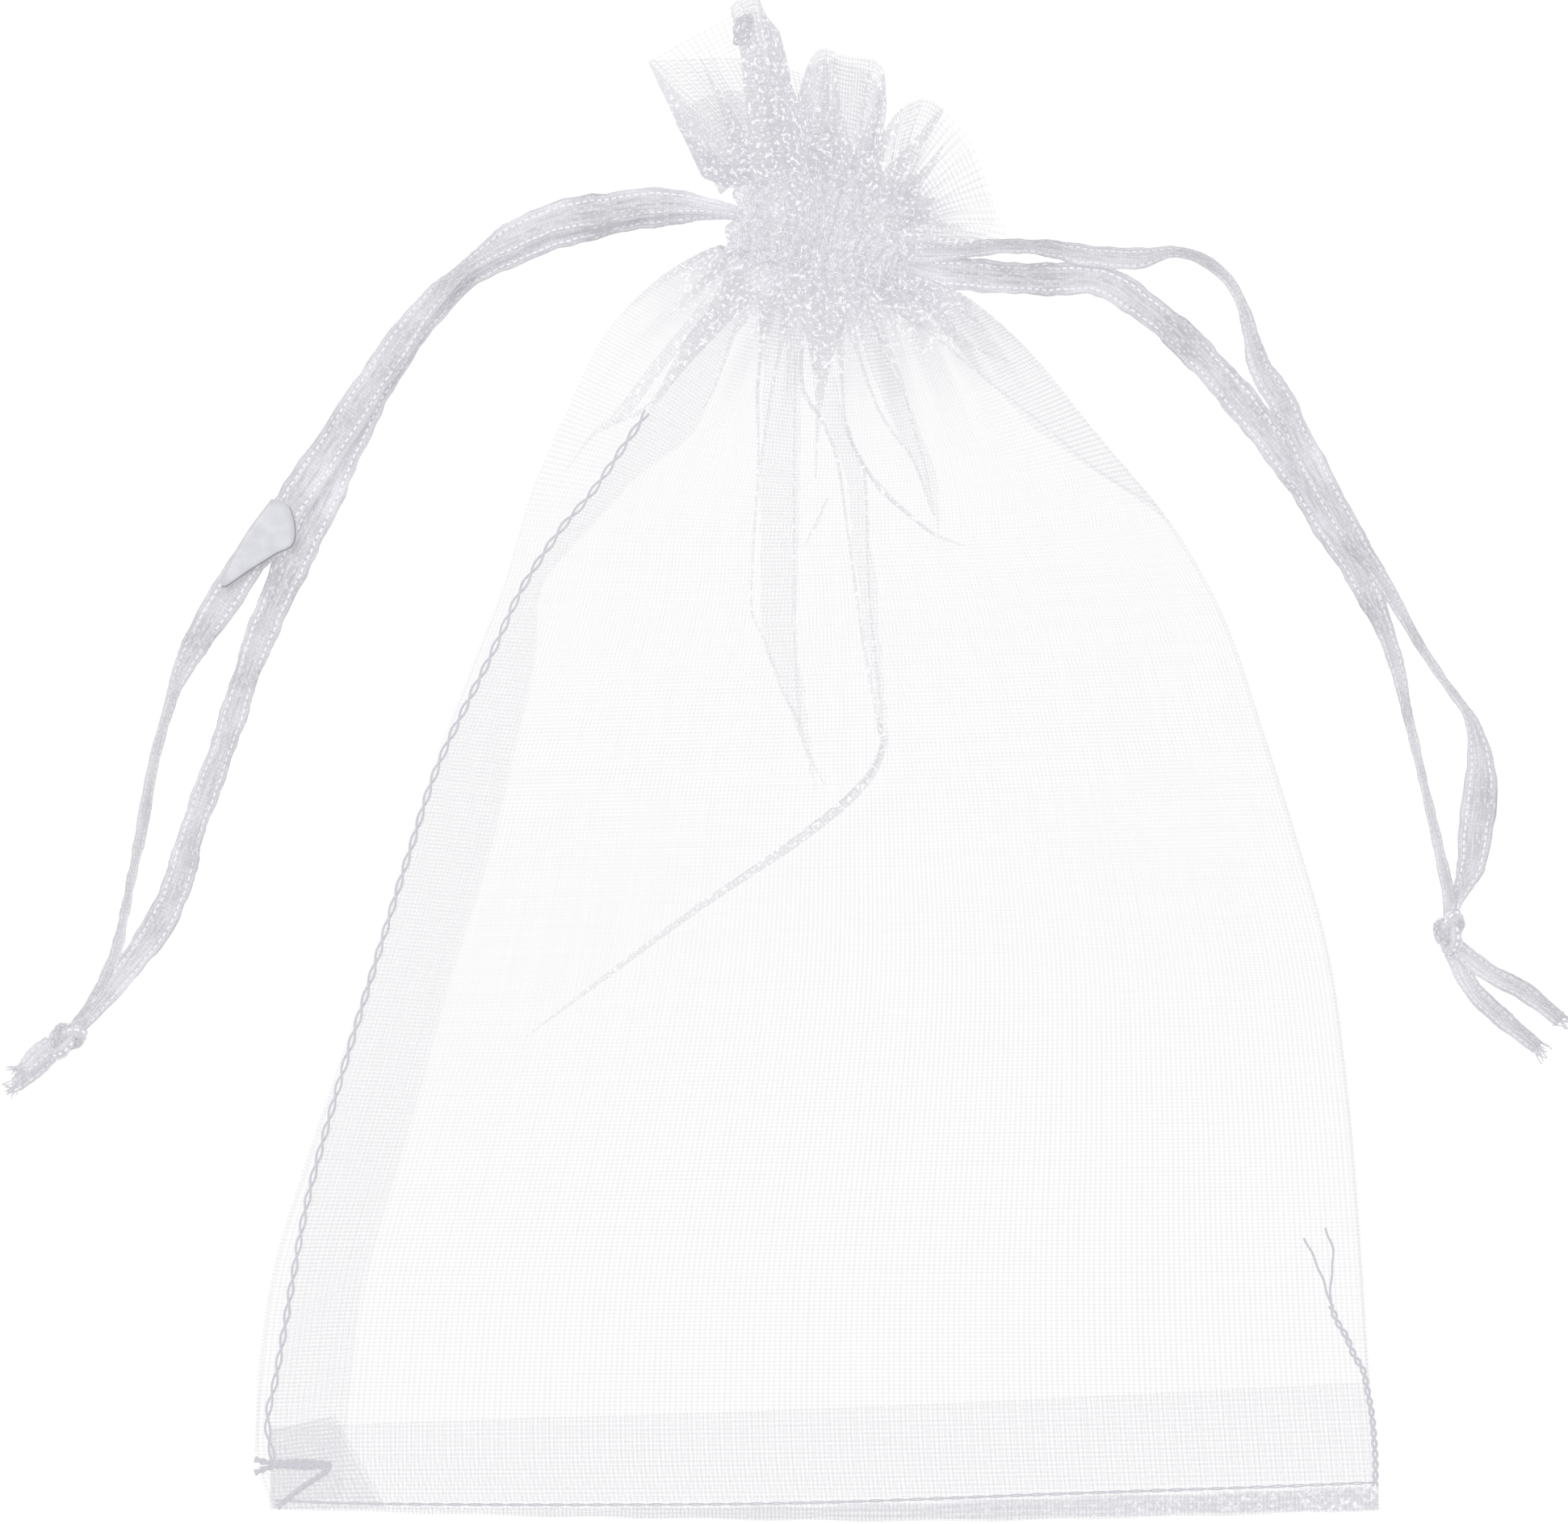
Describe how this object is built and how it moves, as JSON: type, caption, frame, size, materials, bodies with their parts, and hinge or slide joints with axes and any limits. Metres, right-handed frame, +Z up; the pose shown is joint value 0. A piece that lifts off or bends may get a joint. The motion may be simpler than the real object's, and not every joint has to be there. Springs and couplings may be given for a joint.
{
  "type": "drawstring gift pouch",
  "caption": "Flat organza gift pouch with a gathered neck, a ruffled mouth and a ribbon drawstring loop at each side, each ending in a knot.",
  "frame": {"origin": "on the resting surface, in the middle of the pouch's length and width", "axes": "+Z up from the surface, +Y from the bottom seam to the mouth, +X to the right seen from above"},
  "size_m": [0.141, 0.1369, 0.0102],
  "materials": {
    "organza": "sheer white polyester organza, plain weave, slight sheen",
    "gathered_organza": "the same sheer organza in many pleated plies",
    "ribbon": "soft woven polyester ribbon, white with a pearly sheen",
    "thread": "white twisted polyester sewing thread"
  },
  "bodies": {
    "pouch_back": {"back_panel": "organza", "side_seam_allowance": "organza", "bottom_seam_allowance": "organza", "corner_fold": "organza", "bottom_roll": "organza", "side_seam_thread": "thread", "bottom_seam_thread": "thread", "corner_back_tack": "thread", "loose_thread_chain": "thread", "back_neck": "gathered_organza", "back_upper_stitches": "thread", "back_lower_stitches": "thread", "frill_left_lobe": "gathered_organza", "frill_centre_lobe": "gathered_organza"},
    "pouch_front": {"front_panel": "organza", "front_neck": "gathered_organza", "front_upper_stitches": "thread", "front_lower_stitches": "thread", "frill_spike": "gathered_organza", "frill_small_lobe": "gathered_organza", "frill_right_fan": "gathered_organza", "front_left_ribbon_run": "ribbon", "front_right_ribbon_run": "ribbon"},
    "left_drawstring": {"left_ribbon_run": "ribbon"},
    "right_drawstring": {"right_ribbon_run": "ribbon"},
    "left_loop": {"left_outer_strand": "ribbon", "left_inner_strand": "ribbon", "left_knot": "ribbon", "left_long_tail": "ribbon", "left_short_tail": "ribbon"},
    "right_loop": {"right_outer_strand": "ribbon", "right_inner_strand": "ribbon", "right_knot": "ribbon", "right_long_tail": "ribbon", "right_short_tail": "ribbon"}
  },
  "joints": [
    {"name": "mouth_open", "type": "hinge", "parent": "pouch_back", "child": "pouch_front", "pos_m": [0, -0.068, 0.0013], "axis": [1, 0, 0], "range_deg": [0, 5]},
    {"name": "left_draw", "type": "slide", "parent": "pouch_back", "child": "left_drawstring", "axis": [0.9755, -0.2199, 0], "range_m": [0, 0.005]},
    {"name": "right_draw", "type": "slide", "parent": "pouch_back", "child": "right_drawstring", "axis": [-0.9755, 0.2199, 0], "range_m": [0, 0.005]},
    {"name": "left_loop_swing", "type": "hinge", "parent": "left_drawstring", "child": "left_loop", "pos_m": [-0.01442, 0.05093, 0.0016], "axis": [0, 0, 1], "range_deg": [-40, 4]},
    {"name": "right_loop_swing", "type": "hinge", "parent": "right_drawstring", "child": "right_loop", "pos_m": [0.01602, 0.04407, 0.0032], "axis": [0, 0, 1], "range_deg": [-4, 40]}
  ],
  "couplings": [
    {"joint": "left_draw", "follows": "mouth_open", "m_per_rad": 0.0572},
    {"joint": "right_draw", "follows": "mouth_open", "m_per_rad": 0.0572}
  ]
}
